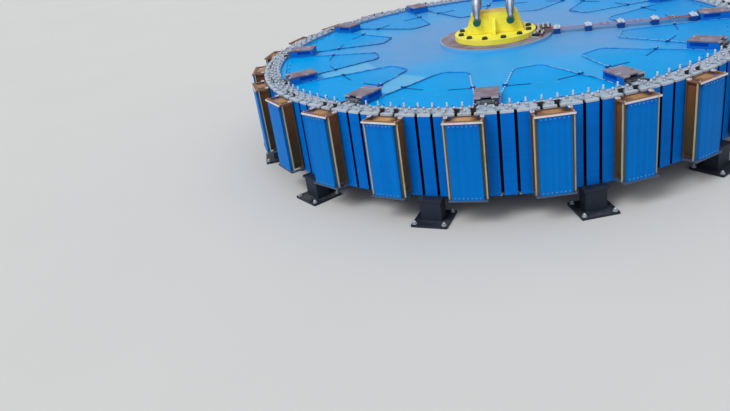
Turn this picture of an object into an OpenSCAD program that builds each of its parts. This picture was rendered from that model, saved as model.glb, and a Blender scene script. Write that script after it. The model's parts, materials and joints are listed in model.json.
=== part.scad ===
// Rotor of a large vertical-shaft hydroelectric generator, with every second field pole mounted,
// standing on its erection pedestals. Z = 0 is the floor, the shaft's axis is Z.
// Angles are measured from the -Y axis towards +X, and local X points outwards along a radius.

/* [Rim] */
// Outer diameter of the stacked rim
rim_od = 9000; // [8800:20:9400]
// Radial width of the stacked rim
rim_w = 300; // [260:10:400]
// Height of the rim, end plates included
rim_h = 1280; // [1200:20:1500]
// Thickness of the rim's upper end plates
rim_top_plate_t = 30; // [20:5:45]
// Thickness of the rim's lower end plates
rim_bottom_plate_t = 40; // [25:5:60]
// Radial width of the brake track under the rim
brake_w = 130; // [90:10:150]
// Thickness of the brake track
brake_t = 40; // [25:5:60]

/* [Pole slots] */
// Depth of a T-slot from the rim's outer face
slot_depth = 120; // [110:2:140]
// Width of a T-slot's neck
slot_neck_w = 45; // [40:1:50]
// Depth of a T-slot's neck
slot_neck_d = 54; // [48:1:60]
// Width of a T-slot's head
slot_head_w = 90; // [80:2:100]
// Distance of a T-slot from the middle of its pole
slot_offset = 117; // [100:1:125]

/* [Poles] */
// How much shorter the pole shoe is than the rim
shoe_short = 116; // [100:4:220]
// Width of the pole shoe
shoe_w = 460; // [430:5:480]
// Thickness of the pole shoe at its middle
shoe_t = 50; // [40:2:60]
// Radial depth of the pole core between rim and shoe
core_d = 205; // [190:5:230]
// Width of the pole core
core_w = 340; // [320:5:360]
// Thickness of the field coil over the core's sides
coil_side = 89; // [70:1:92]
// Thickness of the field coil over the core's ends
coil_end = 82; // [60:1:90]
// Outer corner radius of the field coil
coil_corner_r = 150; // [120:5:165]
// Width of the insulating collars
collar_w = 570; // [550:5:580]
// Thickness of the insulating collars
collar_t = 15; // [10:1:20]
// Gap between the rim and the inner collar
collar_gap = 15; // [8:1:20]
// Thickness of the end frames over and under a pole
frame_t = 25; // [15:1:30]
// Width of an end frame's side bars
frame_bar_w = 36; // [28:1:45]
// Overhang of the end frame in front of the shoe
frame_lip = 5; // [2:1:10]

/* [Pole keys] */
// Thickness of a pole key
key_t = 14; // [10:1:18]
// Width of a pole key
key_w = 60; // [50:1:70]
// Height of a key's hooked head over the rim
key_head_h = 42; // [30:1:60]

/* [Spider] */
// Height of the spider disc's top below the rim's top
disc_drop = 45; // [20:5:80]
// Thickness of the spider disc
disc_t = 40; // [25:5:60]
// Width of an arm's end housing and lower flange
arm_w = 340; // [300:10:380]
// Radial length of an arm's end housing
housing_len = 495; // [460:5:500]
// Height of an arm's end housing above the disc
housing_rise = 130; // [100:5:160]
// Wall thickness of an arm's end housing
housing_wall = 40; // [25:5:50]
// Thickness of the machined cap on an end housing
cap_t = 20; // [12:1:30]
// Overhang of the cap over its housing
cap_lip = 8; // [0:1:15]
// Thickness of an arm's web
web_t = 50; // [30:5:70]
// Thickness of an arm's lower flange
flange_t = 50; // [30:5:70]
// Height of the arm's underside above the rim's underside
arm_lift = 80; // [40:10:160]

/* [Rim keys] */
// Width of the key pack between arm and rim
rim_key_w = 150; // [120:5:180]
// Radial depth of the key pack between arm and rim
rim_key_d = 60; // [40:5:90]
// Height of the key pack's head above the disc
rim_key_rise = 105; // [80:5:120]
// Radial length of the key retainer plate on the rim
retainer_len = 130; // [100:5:160]
// Thickness of the key retainer plate
retainer_t = 20; // [12:1:30]

/* [Cover sheets] */
// Radial length of the arched cover sheets inside the end housings
sheet_len = 1350; // [1200:5:1500]
// Share of a cover sheet's width that it gains evenly from its rounded inner end outwards
sheet_taper = 0.29; // [0.15:0.01:0.5]
// Thickness of a cover sheet
sheet_t = 4; // [3:1:8]
// Width of the raised edge round a cover sheet
sheet_lip_w = 14; // [10:1:20]
// Height of the raised edge above the sheet
sheet_lip_h = 10; // [6:1:16]
// Gap between a cover sheet and the end housings and rim
sheet_gap = 12; // [4:1:20]

/* [Hub] */
// Outer diameter of the hub
hub_od = 2120; // [2000:10:2300]
// Wall thickness of the hub
hub_wall = 180; // [120:5:240]
// Height of the hub's top flange above the disc
hub_rise = 55; // [40:5:100]
// Thickness of the hub's top flange
hub_flange_t = 90; // [70:5:120]
// Bore of the hub's top flange
hub_flange_bore = 1000; // [800:10:1100]
// Diameter of the coupling flange under the hub
coupling_od = 2200; // [2150:10:2400]
// Thickness of the coupling flange
coupling_t = 120; // [90:5:160]
// Bore of the coupling flange
coupling_bore = 1200; // [1000:10:1300]
// Bolt circle of the coupling flange
coupling_pcd = 1960; // [1900:10:2000]
// Diameter of the coupling bolt holes
coupling_hole = 92; // [80:1:100]
// Number of coupling bolt holes
coupling_bolts = 16; // [12:4:24]

/* [Lifting device] */
// Diameter of the lifting device's base
lift_base_d = 1530; // [1440:10:1600]
// Thickness of the lifting device's base
lift_base_t = 90; // [70:5:120]
// Height of the lifting body
lift_h = 385; // [370:5:420]
// Depth of the lifting body
lift_d = 400; // [360:5:410]
// Width of the lifting body at its foot
lift_foot_w = 1110; // [1040:10:1160]
// Width of the lifting body at its top
lift_top_w = 830; // [800:10:880]
// Corner radius at the lifting body's top
lift_corner_r = 90; // [60:5:110]
// Distance between the two shackle pins
pin_pitch = 620; // [610:5:640]
// Height of the shackle pins above the base
pin_rise = 240; // [225:5:250]
// Thickness of the bosses round the pin bores
boss_t = 15; // [10:1:20]
// Diameter of the bosses round the pin bores
boss_d = 190; // [170:5:210]
// Thickness of the lifting body's middle gussets
gusset_t = 60; // [40:5:80]
// Height of the gussets
gusset_h = 275; // [220:5:320]
// Reach of the gussets in front of the body
gusset_reach = 190; // [140:5:260]

/* [Shackles] */
// Diameter of a shackle pin
pin_d = 90; // [80:1:100]
// Radial play of a pin in the lifting body's bore
pin_play = 0.08; // [0.03:0.01:0.1]
// Radial play of a pin in its shackle's eyes
eye_play = 0.6; // [0.3:0.05:0.8]
// Thickness of a shackle's legs and bow
bow_d = 76; // [70:1:84]
// Width of a shackle's bow, where the sling sits
bow_w = 156; // [130:2:170]
// Inside width of a shackle
bow_in_w = 460; // [450:2:480]
// Inside length of a shackle from its pin's axis
bow_in_len = 450; // [430:5:460]
// Diameter of a shackle's eyes
eye_d = 145; // [135:5:165]
// Thickness of a shackle's eyes
eye_t = 80; // [70:1:90]

/* [Field leads] */
// Width of a lead bar
lead_w = 60; // [50:1:70]
// Thickness of a lead bar
lead_t = 14; // [10:1:20]
// Distance between the two lead bars' middles
lead_pitch = 110; // [90:2:140]
// Height of the lead bars above the disc
lead_lift = 70; // [65:1:85]
// Radius at which the lead bars start on the hub flange
lead_r = 850; // [820:5:900]
// Length of a lead clamp across the bars
clamp_len = 250; // [220:5:280]
// Width of a lead clamp along the bars
clamp_w = 120; // [90:5:130]
// Length of the terminal block on the hub flange
terminal_len = 180; // [120:5:190]

/* [Pedestals] */
// Height of the erection pedestals under the rim
pedestal_h = 400; // [340:10:500]
// Width of a pedestal's foot
pedestal_foot_w = 560; // [500:10:600]
// Width of a pedestal's head
pedestal_w = 380; // [340:10:420]
// Radial length of a pedestal's head
pedestal_len = 270; // [240:5:300]
// How far a pedestal's head reaches out under the poles
pedestal_reach = 140; // [100:5:180]
// Thickness of a pedestal's plates
pedestal_t = 40; // [25:5:50]

/* [Hidden] */

$fn = 180;
// Sides of the circles that go round the whole rotor
wide_fn = 720;

// Arms, and the angle that each arm and rim segment takes
arm_count = 12;
arm_step = 360 / arm_count;
// Pole places round the rim; every second one carries a pole
place_count = 48;
place_step = 360 / place_count;
pole_start = -place_step / 2;
poles_per_arm = place_count / arm_count / 2;

// Clearance between pieces that are fitted together
fit = 0.3;
// Gap left between flat faces that lie on each other
seat_gap = 0.2;
// Gap left between round faces that bear on each other
round_gap = 0.7;
// How far a cut runs past the face that it goes through
past = 5;

rim_r = rim_od / 2;
rim_ri = rim_r - rim_w;
rim_z = pedestal_h;
rim_top = rim_z + rim_h;
stack_z = rim_z + rim_bottom_plate_t;
stack_h = rim_h - rim_bottom_plate_t - rim_top_plate_t;

disc_top = rim_top - disc_drop;
disc_z = disc_top - disc_t;
arm_z = rim_z + arm_lift;
housing_end = rim_ri - rim_key_d;
housing_r = housing_end - housing_len;
sheet_r = housing_r - sheet_len;
housing_top = disc_top + housing_rise;
// Places of the lead clamps, as shares of the way from the first one to the last
lead_clamp_shares = [0, 0.236, 0.477, 0.724, 1];

hub_r = hub_od / 2;
hub_top = disc_top + hub_rise;
hub_shell_top = hub_top - hub_flange_t;
hub_shell_z = arm_z;
coupling_z = hub_shell_z - coupling_t;

// The pole's middle height follows the rim's, and its radial places stack outwards from the rim
pole_mid = rim_z + rim_h / 2 - 3;
shoe_h = rim_h - shoe_short;
pole_seat = rim_r + fit;
shoe_in = pole_seat + core_d;
shoe_out = shoe_in + shoe_t;
core_h = shoe_h - 2 * (coil_end - frame_t + 4);
coil_h = core_h + 2 * coil_end;
coil_w = core_w + 2 * coil_side;
outer_collar_in = shoe_in - collar_t - seat_gap;
inner_collar_in = rim_r + collar_gap;
coil_in = inner_collar_in + collar_t + seat_gap;

lift_z = hub_top;
body_z = lift_z + lift_base_t;
pin_z = body_z + pin_rise;
lug_half = lift_d / 2 + boss_t;
bow_r = (bow_in_w + bow_d) / 2;
bow_leg = bow_in_len - bow_in_w / 2;
bow_spread = (bow_w - bow_d) / 2;
bow_web = bow_d - 6;
leg_d = bow_d - 6;
leg_web = leg_d - 6;

clamp_first = hub_r + clamp_w / 2 + 35;
clamp_last = housing_r - clamp_w / 2 - 30;

// Turns its children to an angle round the shaft
module at_angle(angle) rotate([0, 0, angle - 90]) children();

// Repeats its children at every arm
module at_arms() for (i = [0:arm_count - 1]) at_angle(i * arm_step) children();

// Repeats its children at every second pole place
module at_poles()
    for (i = [0:place_count / 2 - 1]) at_angle(pole_start + 2 * i * place_step) children();

// A box from one corner to the opposite one
module span(low, high) translate(low) cube(high - low);

// Plan of one T-slot, open at the rim's outer face
module slot_plan() {
    neck_end = rim_r - slot_neck_d;
    back = rim_r - slot_depth;
    polygon([
        [rim_r + past, -slot_neck_w / 2], [neck_end, -slot_neck_w / 2], [neck_end, -slot_head_w / 2],
        [back, -slot_head_w / 2], [back, slot_head_w / 2], [neck_end, slot_head_w / 2],
        [neck_end, slot_neck_w / 2], [rim_r + past, slot_neck_w / 2]
    ]);
}

// Plan of one rim segment, centred on its arm, with the T-slots of its four pole places
module segment_plan() {
    difference() {
        intersection() {
            difference() {
                circle(rim_r, $fn = wide_fn);
                circle(rim_ri, $fn = wide_fn);
            }
            translate([seat_gap / 2 / sin(arm_step / 2), 0]) polygon([
                [0, 0], rim_od * [cos(arm_step / 2), sin(arm_step / 2)],
                rim_od * [cos(arm_step / 2), -sin(arm_step / 2)]
            ]);
        }
        for (place = [0.5 - poles_per_arm:poles_per_arm - 0.5])
            for (side = [-1, 1])
                rotate(place * place_step) translate([0, side * slot_offset]) slot_plan();
    }
}

// One segment of the stacked rim
module rim_segment(index)
    color("#0a5ab0") at_angle(index * arm_step)
        translate([0, 0, stack_z]) linear_extrude(stack_h) segment_plan();

// End plates over the stack, one above each segment
module rim_top_plates()
    color("#a5aab2") at_arms()
        translate([0, 0, stack_z + stack_h + seat_gap])
            linear_extrude(rim_top_plate_t - seat_gap) segment_plan();

// End plates under the stack
module rim_bottom_plates()
    color("#0a5ab0") at_arms()
        translate([0, 0, rim_z]) linear_extrude(rim_bottom_plate_t - seat_gap) segment_plan();

// Segmented brake track under the rim's inner half
module brake_track() {
    brake_ri = rim_ri + 15;
    half = arm_step / 2 - 0.5;
    color("#7d8288") at_arms()
        translate([0, 0, rim_z - brake_t - seat_gap]) rotate([0, 0, -half])
            rotate_extrude(angle = 2 * half, $fn = wide_fn)
                translate([brake_ri, 0]) square([brake_w, brake_t]);
}

// Hub drum between its two flanges
module hub_shell()
    color("#1470b8") translate([0, 0, hub_shell_z]) difference() {
        cylinder(h = hub_shell_top - hub_shell_z, r = hub_r);
        translate([0, 0, -past])
            cylinder(h = hub_shell_top - hub_shell_z + 2 * past, r = hub_r - hub_wall);
    }

// Machined flange on top of the hub
module hub_top_flange()
    color("#96787f") translate([0, 0, hub_shell_top]) difference() {
        cylinder(h = hub_flange_t, r = hub_r);
        translate([0, 0, -past]) cylinder(h = hub_flange_t + 2 * past, d = hub_flange_bore);
    }

// Coupling flange for the shaft under the hub
module hub_coupling_flange()
    color("#8c9096") translate([0, 0, coupling_z]) difference() {
        cylinder(h = coupling_t, d = coupling_od);
        translate([0, 0, -past]) cylinder(h = coupling_t + 2 * past, d = coupling_bore);
        for (i = [0:coupling_bolts - 1])
            rotate([0, 0, i * 360 / coupling_bolts]) translate([coupling_pcd / 2, 0, -past])
                cylinder(h = coupling_t + 2 * past, d = coupling_hole, $fn = 48);
    }

// Top disc of the spider, cut out round the end housings and key packs
module spider_disc()
    color("#1896e1") difference() {
        translate([0, 0, disc_z]) difference() {
            cylinder(h = disc_t, r = rim_ri - round_gap, $fn = wide_fn);
            translate([0, 0, -past]) cylinder(h = disc_t + 2 * past, r = hub_r + round_gap);
        }
        at_arms() {
            span([housing_r - seat_gap, -arm_w / 2 - seat_gap, disc_z - past],
                 [housing_end + seat_gap, arm_w / 2 + seat_gap, disc_top + past]);
            span([housing_end - past, -rim_key_w / 2, disc_z - past],
                 [rim_ri + past, rim_key_w / 2, disc_top + past]);
        }
    }

// Upright webs of the arms, from the hub to the end housings
module arm_webs()
    color("#0f50a0") at_arms() intersection() {
        span([hub_r - past, -web_t / 2, arm_z + flange_t], [housing_r - seat_gap, web_t / 2, disc_z]);
        difference() {
            cylinder(h = rim_top, r = rim_r, $fn = wide_fn);
            translate([0, 0, -past]) cylinder(h = rim_top + 2 * past, r = hub_r + round_gap);
        }
    }

// Lower flanges of the arms
module arm_lower_flanges()
    color("#0f50a0") at_arms() difference() {
        span([hub_r - 20, -arm_w / 2, arm_z], [housing_r - seat_gap, arm_w / 2, arm_z + flange_t]);
        translate([0, 0, arm_z - past]) cylinder(h = flange_t + 2 * past, r = hub_r + round_gap);
    }

// Hollow end housings that stand up through the disc and take the rim keys
module arm_end_housings()
    color("#0a5aaa") at_arms() difference() {
        span([housing_r, -arm_w / 2, arm_z], [housing_end, arm_w / 2, housing_top]);
        span([housing_r + housing_wall, -arm_w / 2 + housing_wall, arm_z - past],
             [housing_end - housing_wall, arm_w / 2 - housing_wall, housing_top + past]);
        span([housing_end - housing_wall - past, -rim_key_w / 2, disc_top],
             [housing_end + past, rim_key_w / 2, housing_top + past]);
    }

// Bare machined caps on the end housings, notched for the key pack
module arm_end_caps()
    color("#96787d") at_arms() difference() {
        span([housing_r - cap_lip, -arm_w / 2 - cap_lip, housing_top],
             [housing_end + cap_lip, arm_w / 2 + cap_lip, housing_top + cap_t]);
        span([housing_end - housing_wall, -rim_key_w / 2, housing_top - past],
             [housing_end + cap_lip + past, rim_key_w / 2, housing_top + cap_t + past]);
    }

// Key packs that drive the rim from the arms
module rim_key_packs() {
    key_out = sqrt(rim_ri * rim_ri - rim_key_w * rim_key_w / 4) - round_gap;
    color("#37322e") at_arms() {
        span([housing_end + seat_gap, -rim_key_w / 2 + 2, arm_z],
             [key_out, rim_key_w / 2 - 2, disc_top + rim_key_rise]);
        span([housing_end - housing_wall + 2, -rim_key_w / 2 + 2, disc_top + seat_gap],
             [key_out, rim_key_w / 2 - 2, disc_top + rim_key_rise]);
    }
}

// Rounded retainer plates on the rim in front of the key packs
module rim_key_retainers() {
    retainer_w = rim_key_w + 80;
    color("#9a9fa6") at_arms() translate([0, 0, rim_top + seat_gap]) linear_extrude(retainer_t) difference() {
        union() {
            translate([rim_ri, -retainer_w / 2]) square([retainer_len - retainer_w / 3, retainer_w]);
            translate([rim_ri, 0]) intersection() {
                translate([0, -retainer_w / 2]) square([retainer_len, retainer_w]);
                circle(r = retainer_len + 4, $fn = 96);
            }
        }
        circle(r = rim_ri + 12, $fn = wide_fn);
    }
}

// Half of the angle that a cover sheet spans, at a share of the way from its inner end to the housings
function sheet_half(share) =
    let (full = arm_step / 2 - asin((arm_w / 2 + sheet_gap) / housing_r))
    full * ((1 - sheet_taper) * pow(share, 0.12) + sheet_taper * share);

// A point at a radius and an angle from the middle of a bay
function polar(radius, angle) = radius * [cos(angle), sin(angle)];

// One side of a cover sheet's outline, moved inwards by an inset
function sheet_side(inset) = concat(
    [for (i = [1:8]) let (share = pow(i / 8, 4), radius = sheet_r + inset + (sheet_len - inset) * share)
        polar(radius, sheet_half(share) - inset / radius * 180 / PI)],
    [let (radius = rim_ri - sheet_gap - inset, side = arm_w / 2 + sheet_gap + inset)
        polar(radius, arm_step / 2 - asin(side / radius))]
);

// Outline of a cover sheet
module sheet_plan(inset) {
    side = sheet_side(inset);
    last = len(side) - 1;
    polygon(concat(side, [for (i = [last:-1:0]) [side[i][0], -side[i][1]]]));
}

// Thin arched cover sheets with raised edges, one in each bay
module cover_sheets()
    color("#1288d8") for (i = [0:arm_count - 1]) at_angle((i + 0.5) * arm_step)
        translate([0, 0, disc_top]) difference() {
            linear_extrude(sheet_t + sheet_lip_h) sheet_plan(0);
            translate([0, 0, sheet_t]) linear_extrude(sheet_lip_h + past) sheet_plan(sheet_lip_w);
        }

// One T-shaped tail that hangs a pole in its slot
module pole_tail(height) {
    head_w = slot_head_w - 4;
    neck_w = slot_neck_w - 2;
    head_out = rim_r - slot_neck_d - fit;
    head_in = rim_r - slot_depth + key_t + 1;
    translate([0, 0, -height / 2]) linear_extrude(height) polygon([
        [pole_seat + 1, -neck_w / 2], [head_out, -neck_w / 2], [head_out, -head_w / 2],
        [head_in, -head_w / 2], [head_in, head_w / 2], [head_out, head_w / 2],
        [head_out, neck_w / 2], [pole_seat + 1, neck_w / 2]
    ]);
}

// Pole core with its shoe and two tails
module pole_bodies()
    color("#0069be") at_poles() translate([0, 0, pole_mid]) {
        span([pole_seat, -core_w / 2, -core_h / 2], [shoe_in + 1, core_w / 2, core_h / 2]);
        intersection() {
            span([shoe_in, -shoe_w / 2, -shoe_h / 2], [shoe_out, shoe_w / 2, shoe_h / 2]);
            translate([0, 0, -shoe_h / 2]) cylinder(h = shoe_h, r = shoe_out, $fn = wide_fn);
        }
        for (side = [-1, 1]) translate([0, side * slot_offset, 0]) pole_tail(core_h);
    }

// A rectangle with rounded corners, standing across the radius
module rounded_plate(thickness, width, height, corner)
    rotate([90, 0, 90]) linear_extrude(thickness) {
        square([width - 2 * corner, height], center = true);
        square([width, height - 2 * corner], center = true);
        for (x = [-1, 1]) for (y = [-1, 1])
            translate([x * (width / 2 - corner), y * (height / 2 - corner)]) circle(corner, $fn = 64);
    }

// Field coils of strip copper wound round the cores
module pole_coils() {
    depth = outer_collar_in - coil_in - seat_gap;
    color("#be783c") at_poles() translate([coil_in, 0, pole_mid]) difference() {
        rounded_plate(depth, coil_w, coil_h, coil_corner_r);
        translate([-past, 0, 0])
            span([0, -core_w / 2 - fit, -core_h / 2 - fit],
                 [depth + 2 * past, core_w / 2 + fit, core_h / 2 + fit]);
    }
}

// One insulating collar round the core
module collar(start)
    translate([start, 0, pole_mid]) difference() {
        span([0, -collar_w / 2, -shoe_h / 2], [collar_t, collar_w / 2, shoe_h / 2]);
        span([-past, -core_w / 2 - fit, -core_h / 2 - fit],
             [collar_t + past, core_w / 2 + fit, core_h / 2 + fit]);
    }

// Collars between the coils and the shoes
module outer_collars() color("#96966e") at_poles() collar(outer_collar_in);

// Collars between the coils and the rim
module inner_collars() color("#96966e") at_poles() collar(inner_collar_in);

// U-shaped end frame that closes a pole's upper or lower end, with a pad at each rear corner
module pole_frame(side) {
    front_in = outer_collar_in;
    bar_in = collar_w / 2 - frame_bar_w;
    face = shoe_h / 2 + seat_gap;
    at_poles() translate([0, 0, pole_mid]) mirror([0, 0, side < 0 ? 1 : 0]) {
        span([front_in, -collar_w / 2, face], [shoe_out + frame_lip, collar_w / 2, face + frame_t]);
        for (edge = [0, 1]) mirror([0, edge, 0]) {
            span([inner_collar_in, bar_in, face], [front_in + 1, collar_w / 2, face + frame_t]);
            span([inner_collar_in, bar_in - 18, face + frame_t - 1],
                 [coil_in + 45, collar_w / 2, face + frame_t + 16]);
        }
    }
}

// End frames over the poles
module pole_top_frames() color("#d7cdc8") pole_frame(1);

// End frames under the poles
module pole_bottom_frames() color("#d7cdc8") pole_frame(-1);

// Keys driven in behind the pole tails, with hooked heads over the rim
module pole_keys() {
    back = rim_r - slot_depth + fit;
    foot = pole_mid - core_h / 2;
    color("#2b2826") at_poles() for (side = [-1, 1])
        translate([back, side * slot_offset, 0]) rotate([90, 0, 90]) linear_extrude(key_t)
            polygon([
                [-key_w / 2, foot], [key_w / 2, foot], [key_w / 2, rim_top],
                [slot_head_w / 2 + 4, rim_top + key_head_h], [-slot_head_w / 2 - 4, rim_top + key_head_h],
                [-key_w / 2, rim_top]
            ]);
}

// Round base of the lifting device on the hub flange
module lifting_base()
    color("#ebd728") translate([0, 0, lift_z]) cylinder(h = lift_base_t, d = lift_base_d);

// Front outline of the lifting body, a trapezoid with rounded upper corners
module lift_outline() {
    lean = atan2((lift_foot_w - lift_top_w) / 2, lift_h);
    corner_x = lift_top_w / 2 - lift_corner_r / cos(lean) + lift_corner_r * tan(lean);
    corner_y = lift_h - lift_corner_r;
    polygon(concat(
        [[-lift_foot_w / 2, 0], [lift_foot_w / 2, 0]],
        [for (i = [0:8]) let (a = lean + (90 - lean) * i / 8)
            [corner_x + lift_corner_r * cos(a), corner_y + lift_corner_r * sin(a)]],
        [for (i = [8:-1:0]) let (a = lean + (90 - lean) * i / 8)
            [-corner_x - lift_corner_r * cos(a), corner_y + lift_corner_r * sin(a)]]
    ));
}

// Standing body of the lifting device with two bored lugs
module lifting_body()
    color("#ebd728") translate([0, 0, body_z]) difference() {
        union() {
            translate([0, lift_d / 2, 0]) rotate([90, 0, 0]) linear_extrude(lift_d) lift_outline();
            for (side = [-1, 1]) translate([side * pin_pitch / 2, lug_half, pin_rise])
                rotate([90, 0, 0]) cylinder(h = 2 * lug_half, d = boss_d, $fn = 96);
        }
        for (side = [-1, 1]) translate([side * pin_pitch / 2, lug_half + past, pin_rise])
            rotate([90, 0, 0])
                cylinder(h = 2 * (lug_half + past), d = pin_d + 2 * pin_play, $fn = 96);
    }

// Middle gussets in front of and behind the lifting body
module lifting_gussets() {
    color("#ebd728") for (side = [0, 1]) mirror([0, side, 0])
        translate([-gusset_t / 2, lift_d / 2, body_z]) rotate([90, 0, 90]) linear_extrude(gusset_t)
            polygon([[0, 0], [gusset_reach, 0], [gusset_reach, 40], [70, gusset_h], [0, gusset_h]]);
}

// One leg of a shackle, which widens from its eye up to the bow
module shackle_leg() {
    lean = atan2(bow_spread, bow_leg);
    sunk = 8;
    translate([0, leg_web / 2, 0]) rotate([90, 0, 0]) linear_extrude(leg_web)
        polygon([[0, 0], [bow_spread, bow_leg], [-bow_spread, bow_leg]]);
    for (way = [-1, 1])
        rotate([0, way * lean, 0]) cylinder(h = bow_leg / cos(lean) + sunk, d = leg_d, $fn = 48);
}

// Bow of one shackle, standing upright from its pin
module shackle_bow(side)
    color("#c3c8cc") translate([side * pin_pitch / 2, 0, pin_z]) difference() {
        union() {
            translate([0, 0, bow_leg]) rotate([90, 0, 90]) {
                rotate_extrude(angle = 180) translate([bow_r - bow_web / 2, -bow_spread])
                    square([bow_web, 2 * bow_spread]);
                for (way = [-1, 1]) translate([0, 0, way * bow_spread])
                    rotate_extrude(angle = 180) translate([bow_r, 0]) circle(d = bow_d, $fn = 48);
            }
            for (edge = [-1, 1]) {
                translate([0, edge * bow_r, 0]) shackle_leg();
                translate([0, edge * (bow_in_w + eye_t) / 2 + eye_t / 2, 0]) rotate([90, 0, 0])
                    cylinder(h = eye_t, d = eye_d, $fn = 96);
            }
        }
        translate([0, bow_in_w, 0]) rotate([90, 0, 0])
            cylinder(h = 2 * bow_in_w, d = pin_d + 2 * eye_play, $fn = 96);
    }

// Pin of one shackle with its head and nut
module shackle_pin(side) {
    reach = bow_in_w / 2 + max(eye_t, bow_d) + 1;
    head_t = 24;
    head_d = pin_d + 14;
    nut_t = 50;
    nut_d = pin_d + 50;
    color("#1f5a3c") translate([side * pin_pitch / 2, -reach, pin_z]) rotate([-90, 0, 0]) {
        cylinder(h = 2 * reach, d = pin_d, $fn = 96);
        translate([0, 0, -head_t]) cylinder(h = head_t, d = head_d, $fn = 96);
        translate([0, 0, 2 * reach]) cylinder(h = nut_t, d = nut_d, $fn = 6);
    }
}

// Pair of copper field leads along one arm
module lead_bars()
    color("#a86a38") for (side = [-1, 1])
        span([lead_r, side * lead_pitch / 2 - lead_w / 2, disc_top + lead_lift],
             [housing_r - 20, side * lead_pitch / 2 + lead_w / 2, disc_top + lead_lift + lead_t]);

// A clamp block on its seat, with a slot for each lead bar
module lead_block(place, length, width, seat, over)
    difference() {
        span([place - length / 2, -width / 2, seat],
             [place + length / 2, width / 2, disc_top + lead_lift + lead_t + over]);
        for (side = [-1, 1])
            span([place - length, side * lead_pitch / 2 - lead_w / 2 - fit, disc_top + lead_lift - fit],
                 [place + length, side * lead_pitch / 2 + lead_w / 2 + fit,
                  disc_top + lead_lift + lead_t + fit]);
    }

// Insulated clamps that hold the leads on the disc
module lead_clamps()
    color("#1470b8") for (share = lead_clamp_shares)
        lead_block(clamp_first + share * (clamp_last - clamp_first), clamp_w, clamp_len, disc_top, 30);

// Terminal block on the hub flange where the leads start
module lead_terminal()
    color("#b4966e") lead_block(lead_r + terminal_len / 2 + 20, terminal_len, clamp_len + 60, hub_top, 45);

// Erection pedestals between the arms, each a foot, a hollow post and a head
module rim_pedestals() {
    start = rim_r + pedestal_reach - pedestal_len;
    middle = start + pedestal_len / 2;
    color("#282d37") for (i = [0:arm_count - 1])
        at_angle((i + 0.5) * arm_step + place_step / 2) {
            span([middle - pedestal_foot_w / 2, -pedestal_foot_w / 2, 0],
                 [middle + pedestal_foot_w / 2, pedestal_foot_w / 2, pedestal_t]);
            span([start + 20, -pedestal_w / 2 + 30, pedestal_t - 1],
                 [start + pedestal_len - 20, pedestal_w / 2 - 30, pedestal_h - pedestal_t + 1]);
            span([start, -pedestal_w / 2, pedestal_h - pedestal_t],
                 [start + pedestal_len, pedestal_w / 2, pedestal_h - seat_gap]);
        }
}

hub_shell();
hub_top_flange();
hub_coupling_flange();
spider_disc();
arm_webs();
arm_lower_flanges();
arm_end_housings();
arm_end_caps();
rim_key_packs();
rim_key_retainers();
cover_sheets();
rim_segment(0);  // rim_segment_01
rim_segment(1);  // rim_segment_02
rim_segment(2);  // rim_segment_03
rim_segment(3);  // rim_segment_04
rim_segment(4);  // rim_segment_05
rim_segment(5);  // rim_segment_06
rim_segment(6);  // rim_segment_07
rim_segment(7);  // rim_segment_08
rim_segment(8);  // rim_segment_09
rim_segment(9);  // rim_segment_10
rim_segment(10);  // rim_segment_11
rim_segment(11);  // rim_segment_12
rim_top_plates();
rim_bottom_plates();
brake_track();
pole_bodies();
pole_coils();
outer_collars();
inner_collars();
pole_top_frames();
pole_bottom_frames();
pole_keys();
lifting_base();
lifting_body();
lifting_gussets();
shackle_bow(-1);  // left_shackle_bow
shackle_pin(-1);  // left_shackle_pin
shackle_bow(1);  // right_shackle_bow
shackle_pin(1);  // right_shackle_pin
lead_bars();
lead_clamps();
lead_terminal();
rim_pedestals();
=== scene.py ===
"""Looks of the generator rotor: finishes for its solid parts, and the small pieces that are fixed to them.

Everything is in metres. The shaft's axis is Z, the floor is Z = 0, and angles round the shaft are in
degrees from -Y towards +X. Colours are three values of 0 to 255, as on a screen.
"""

import json
import math

import bpy
from mathutils import Matrix, Vector

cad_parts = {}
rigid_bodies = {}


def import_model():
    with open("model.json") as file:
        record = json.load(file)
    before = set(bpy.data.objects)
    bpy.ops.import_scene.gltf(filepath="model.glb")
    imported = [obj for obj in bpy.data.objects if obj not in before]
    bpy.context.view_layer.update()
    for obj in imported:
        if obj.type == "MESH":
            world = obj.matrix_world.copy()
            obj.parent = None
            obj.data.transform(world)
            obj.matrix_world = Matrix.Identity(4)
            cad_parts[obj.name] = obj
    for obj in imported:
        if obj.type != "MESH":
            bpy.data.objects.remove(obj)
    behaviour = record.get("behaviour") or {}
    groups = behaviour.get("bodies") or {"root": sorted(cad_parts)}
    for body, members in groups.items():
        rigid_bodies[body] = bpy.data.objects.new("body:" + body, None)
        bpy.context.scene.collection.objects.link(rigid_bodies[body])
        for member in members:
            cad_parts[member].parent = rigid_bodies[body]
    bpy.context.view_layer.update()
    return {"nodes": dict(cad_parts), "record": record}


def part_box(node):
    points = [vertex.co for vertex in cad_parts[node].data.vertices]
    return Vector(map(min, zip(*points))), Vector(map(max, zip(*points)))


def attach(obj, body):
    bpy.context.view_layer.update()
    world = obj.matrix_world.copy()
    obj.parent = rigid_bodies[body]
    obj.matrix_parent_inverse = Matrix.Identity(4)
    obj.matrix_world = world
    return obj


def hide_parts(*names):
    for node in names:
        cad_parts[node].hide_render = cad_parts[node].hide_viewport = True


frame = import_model()
scene = bpy.context.scene

ARMS, PLACES = 12, 48
ARM_STEP, PLACE_STEP = 360 / ARMS, 360 / PLACES
POLE_START, POLE_STEP = -PLACE_STEP / 2, 2 * PLACE_STEP
arm_angles = [ARM_STEP * i for i in range(ARMS)]
bay_angles = [angle + ARM_STEP / 2 for angle in arm_angles]
pole_angles = [POLE_START + POLE_STEP * i for i in range(PLACES // 2)]

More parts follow.
